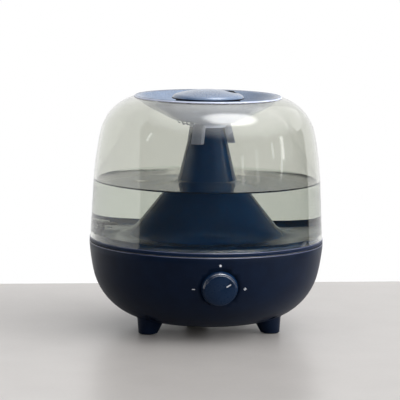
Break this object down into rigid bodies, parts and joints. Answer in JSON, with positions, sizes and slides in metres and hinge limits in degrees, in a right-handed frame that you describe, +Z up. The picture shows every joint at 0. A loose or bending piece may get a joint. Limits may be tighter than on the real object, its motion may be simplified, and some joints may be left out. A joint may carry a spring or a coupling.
{
  "type": "cool mist humidifier",
  "caption": "Top-fill ultrasonic humidifier: moulded bowl on three feet with a tilted rotary knob, clear domed tank round a trumpet-shaped mist tower, dished lid and turning mist cap.",
  "frame": {"origin": "centre of the round body on the surface the feet stand on", "axes": "+Z up; -Y is the front, with the knob; +X is to the right seen from the front"},
  "size_m": [0.225, 0.2283, 0.2305],
  "materials": {
    "navy_bowl": "moulded satin",
    "navy_band": "moulded gloss",
    "navy_lid": "moulded gloss",
    "clear_tank": "clear smoke",
    "tray_grey": "moulded matte",
    "dark_plastic": "moulded matte",
    "soft_rubber": "matte",
    "screw_steel": "zinc plated",
    "spring_steel": "drawn wire",
    "disc_ceramic": "silvered ceramic",
    "cast_alloy": "as cast",
    "board_green": "solder mask",
    "white_print": "matte",
    "white_plastic": "moulded matte",
    "reed_glass": "clear"
  },
  "bodies": {
    "base": {"base_shell": "navy_bowl", "foot_pads": "soft_rubber", "bottom_cover": "dark_plastic", "cover_screws": "screw_steel", "base_tray": "tray_grey", "air_duct": "tray_grey", "tray_screws": "screw_steel", "transducer_disc": "disc_ceramic", "transducer_seal": "soft_rubber", "transducer_clamp": "cast_alloy", "clamp_screws": "screw_steel", "driver_board": "board_green", "board_parts": "dark_plastic", "heat_sink": "cast_alloy", "board_screws": "screw_steel", "fan_frame": "dark_plastic", "fan_screws": "screw_steel", "power_jack": "dark_plastic", "jack_nut": "screw_steel", "potentiometer": "dark_plastic", "pot_nut": "screw_steel", "indicator_lens": "white_print", "indicator_led": "white_plastic", "float_cap": "white_plastic", "reed_switch": "reed_glass"},
    "fan": {"fan_impeller": "dark_plastic"},
    "knob": {"control_knob": "navy_lid", "knob_pointer": "white_print", "pot_shaft": "screw_steel"},
    "float": {"float_body": "white_plastic", "float_magnet": "dark_plastic"},
    "tank": {"tank_shell": "clear_tank", "tank_floor": "navy_band"},
    "valve": {"valve_stem": "white_plastic", "valve_seal": "soft_rubber", "valve_spring": "spring_steel", "valve_clip": "white_plastic"},
    "lid": {"lid_dish": "navy_lid"},
    "cap": {"mist_cap": "navy_lid", "cap_core": "navy_lid"}
  },
  "joints": [
    {"name": "knob_turn", "type": "hinge", "parent": "base", "child": "knob", "pos_m": [0, -0.10817, 0.055], "axis": [0, 0.9703, 0.2419], "range_deg": [-147, 33]},
    {"name": "fan_spin", "type": "hinge", "parent": "base", "child": "fan", "pos_m": [0, 0.042, 0.05], "axis": [0, 0, 1], "continuous": true},
    {"name": "float_rise", "type": "slide", "parent": "base", "child": "float", "axis": [0, 0, 1], "range_m": [0, 0.005]},
    {"name": "tank_lift", "type": "slide", "parent": "base", "child": "tank", "axis": [0, 0, 1], "range_m": [0, 0.12]},
    {"name": "valve_close", "type": "slide", "parent": "tank", "child": "valve", "axis": [0, 0, 1], "range_m": [-0.003, 0], "deforming": ["valve_spring"]},
    {"name": "lid_lift", "type": "slide", "parent": "tank", "child": "lid", "axis": [0, 0, 1], "range_m": [0, 0.06]},
    {"name": "cap_turn", "type": "hinge", "parent": "lid", "child": "cap", "pos_m": [0, 0, 0.225], "axis": [0, 0, 1], "continuous": true}
  ],
  "couplings": [
    {"joint": "valve_close", "follows": "tank_lift", "ratio": -0.025}
  ]
}
